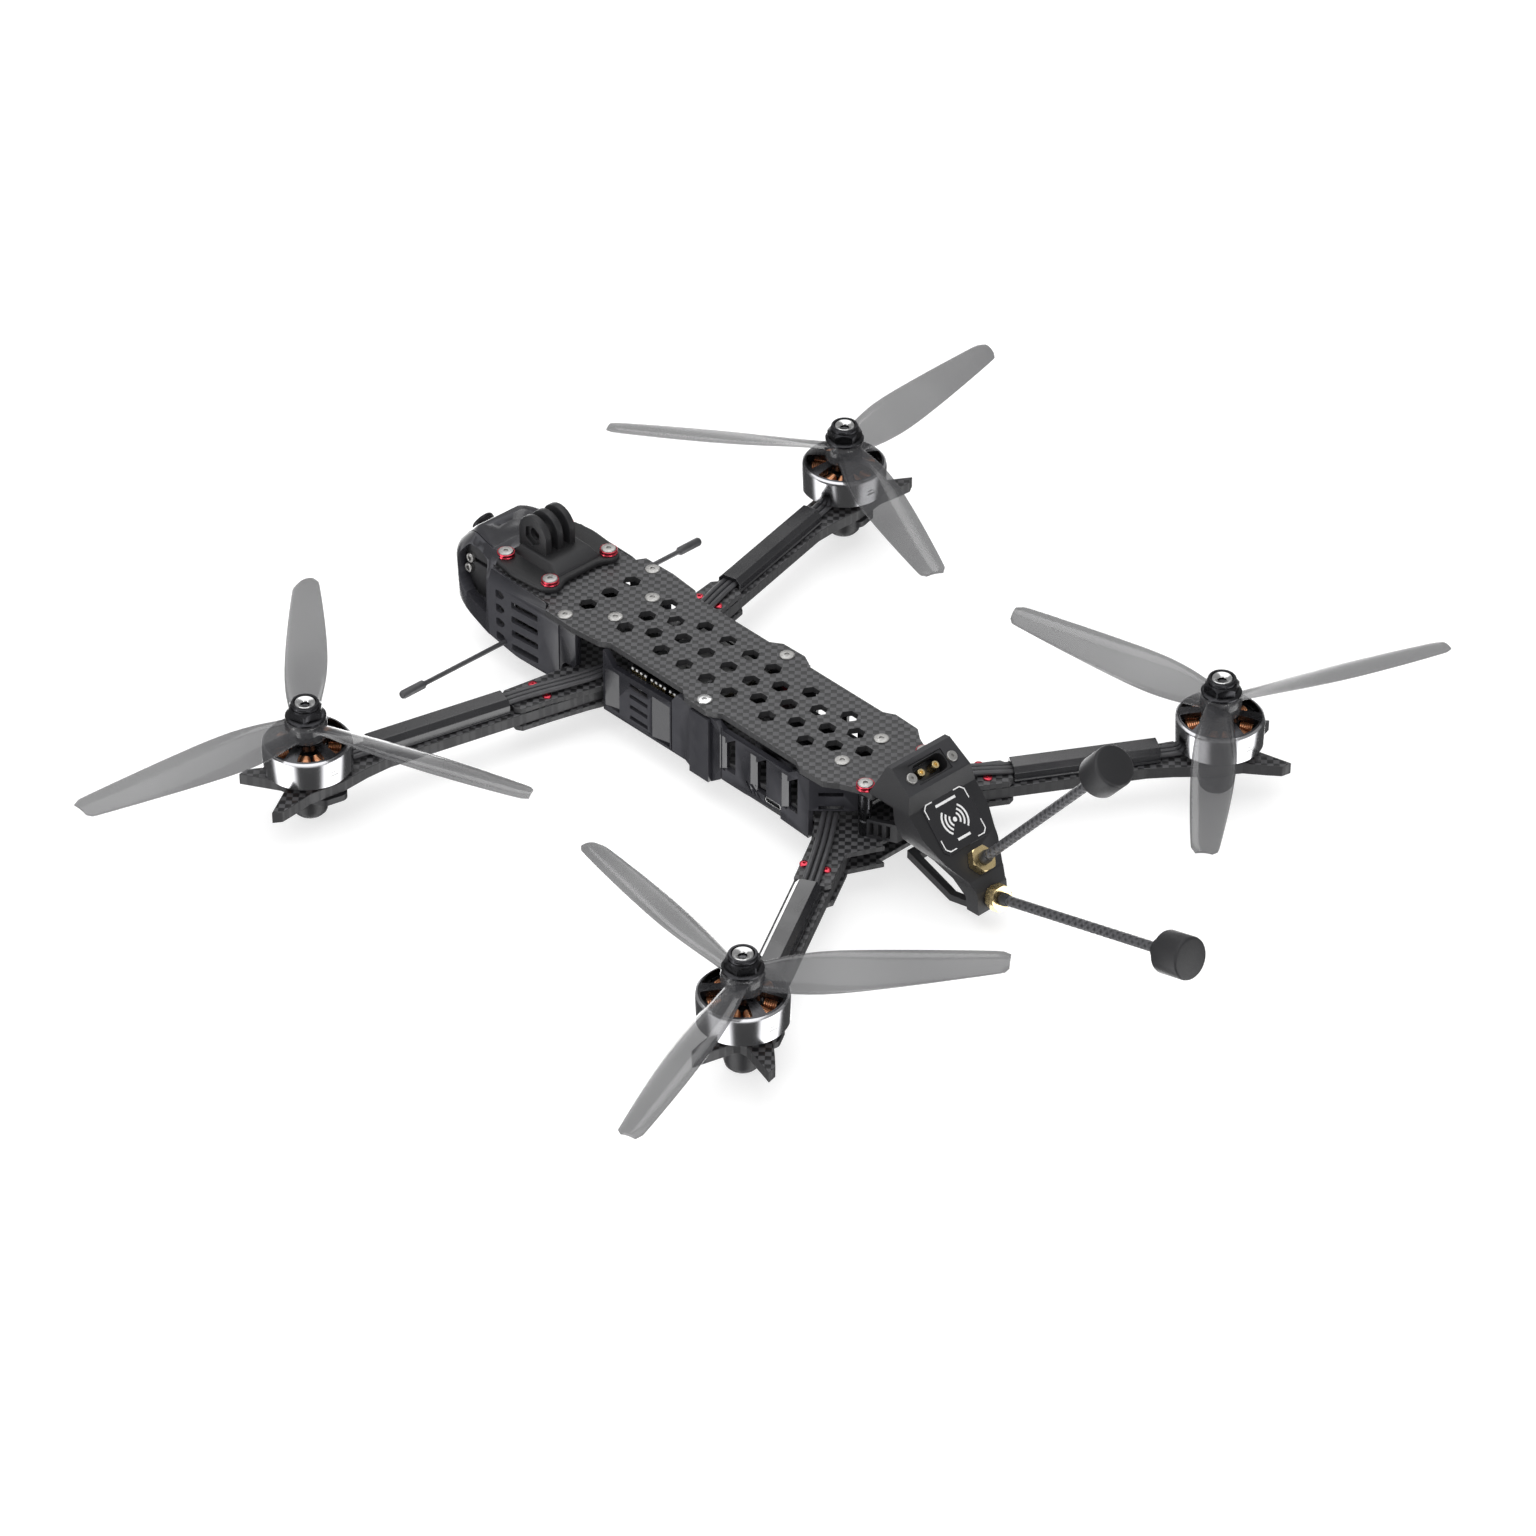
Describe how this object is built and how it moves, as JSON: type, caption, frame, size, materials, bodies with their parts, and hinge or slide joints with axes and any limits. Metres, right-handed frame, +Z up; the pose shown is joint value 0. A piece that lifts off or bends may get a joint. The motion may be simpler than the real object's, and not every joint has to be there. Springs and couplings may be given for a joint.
{
  "type": "quadcopter drone",
  "caption": "Long-range camera quadcopter with carbon plates and arms, moulded nose and side panels, translucent three-blade propellers and a tail mount with two stub antennas.",
  "frame": {"origin": "centre of the bottom plate's underside, midway between the four motors", "axes": "+Z up, the nose points to -Y, the drone's left side is +X"},
  "size_m": [0.4631, 0.3959, 0.1075],
  "materials": {
    "carbon": "woven carbon-fibre laminate, satin clear coat",
    "cover_gloss": "glossy black moulded cover",
    "tpu": "matt black printed flexible plastic",
    "windings": "enamelled copper windings on a steel core",
    "bell_metal": "polished aluminium bell",
    "propeller_smoke": "smoke-grey translucent polycarbonate",
    "nut_metal": "black anodised nut with a bright ring",
    "wire_jacket": "black silicone wire jacket",
    "red_anodised": "red anodised",
    "moulded": "satin dark grey moulded plastic",
    "camera_case": "black camera housing",
    "lens_black": "black lens barrel with a glass front",
    "connector_plastic": "black nylon connector housing",
    "board": "black circuit board with components",
    "heat_sink": "black anodised finned heat sink",
    "gold": "gold-plated brass",
    "antenna_black": "matt black antenna cap on a braided stalk",
    "capacitor_sleeve": "black shrink sleeve"
  },
  "bodies": {
    "airframe": {"arm_front_left": "carbon", "wire_cover_front_left": "cover_gloss", "motor_foot_front_left": "tpu", "motor_stator_front_left": "windings", "motor_leads_front_left": "wire_jacket", "arm_front_right": "carbon", "wire_cover_front_right": "cover_gloss", "motor_foot_front_right": "tpu", "motor_stator_front_right": "windings", "motor_leads_front_right": "wire_jacket", "arm_rear_left": "carbon", "wire_cover_rear_left": "cover_gloss", "motor_foot_rear_left": "tpu", "motor_stator_rear_left": "windings", "motor_leads_rear_left": "wire_jacket", "arm_rear_right": "carbon", "wire_cover_rear_right": "cover_gloss", "motor_foot_rear_right": "tpu", "motor_stator_rear_right": "windings", "motor_leads_rear_right": "wire_jacket", "bottom_plate": "carbon", "clamp_plate": "carbon", "top_plate": "carbon", "standoff_left": "red_anodised", "standoff_right": "red_anodised", "side_panel_left": "moulded", "side_panel_right": "moulded", "nose_cheek_left": "moulded", "nose_cheek_right": "moulded", "nose_hood": "moulded", "action_camera_mount": "tpu", "tail_mount": "tpu", "tail_bracket": "tpu", "battery_connector": "connector_plastic", "gps_module": "board", "sma_socket_upper": "gold", "video_antenna_upper": "antenna_black", "sma_socket_lower": "gold", "video_antenna_lower": "antenna_black", "receiver_antenna_left": "wire_jacket", "receiver_antenna_right": "wire_jacket", "esc_board": "board", "flight_controller": "board", "receiver_board": "board", "video_transmitter": "heat_sink", "power_capacitor": "capacitor_sleeve"},
    "rotor_front_left": {"motor_bell_front_left": "bell_metal", "propeller_front_left": "propeller_smoke", "prop_nut_front_left": "nut_metal"},
    "rotor_front_right": {"motor_bell_front_right": "bell_metal", "propeller_front_right": "propeller_smoke", "prop_nut_front_right": "nut_metal"},
    "rotor_rear_left": {"motor_bell_rear_left": "bell_metal", "propeller_rear_left": "propeller_smoke", "prop_nut_rear_left": "nut_metal"},
    "rotor_rear_right": {"motor_bell_rear_right": "bell_metal", "propeller_rear_right": "propeller_smoke", "prop_nut_rear_right": "nut_metal"},
    "nose_camera": {"fpv_camera_body": "camera_case", "fpv_camera_lens": "lens_black"}
  },
  "joints": [
    {"name": "rotor_spin_front_left", "type": "hinge", "parent": "airframe", "child": "rotor_front_left", "pos_m": [0.1379, -0.1098, 0.0275], "axis": [0, 0, 1], "continuous": true},
    {"name": "rotor_spin_front_right", "type": "hinge", "parent": "airframe", "child": "rotor_front_right", "pos_m": [-0.1379, -0.1098, 0.0275], "axis": [0, 0, 1], "continuous": true},
    {"name": "rotor_spin_rear_left", "type": "hinge", "parent": "airframe", "child": "rotor_rear_left", "pos_m": [0.1217, 0.1098, 0.0275], "axis": [0, 0, 1], "continuous": true},
    {"name": "rotor_spin_rear_right", "type": "hinge", "parent": "airframe", "child": "rotor_rear_right", "pos_m": [-0.1217, 0.1098, 0.0275], "axis": [0, 0, 1], "continuous": true},
    {"name": "camera_tilt", "type": "hinge", "parent": "airframe", "child": "nose_camera", "pos_m": [0, -0.157, 0.02], "axis": [-1, 0, 0], "range_deg": [-20, 12]}
  ]
}
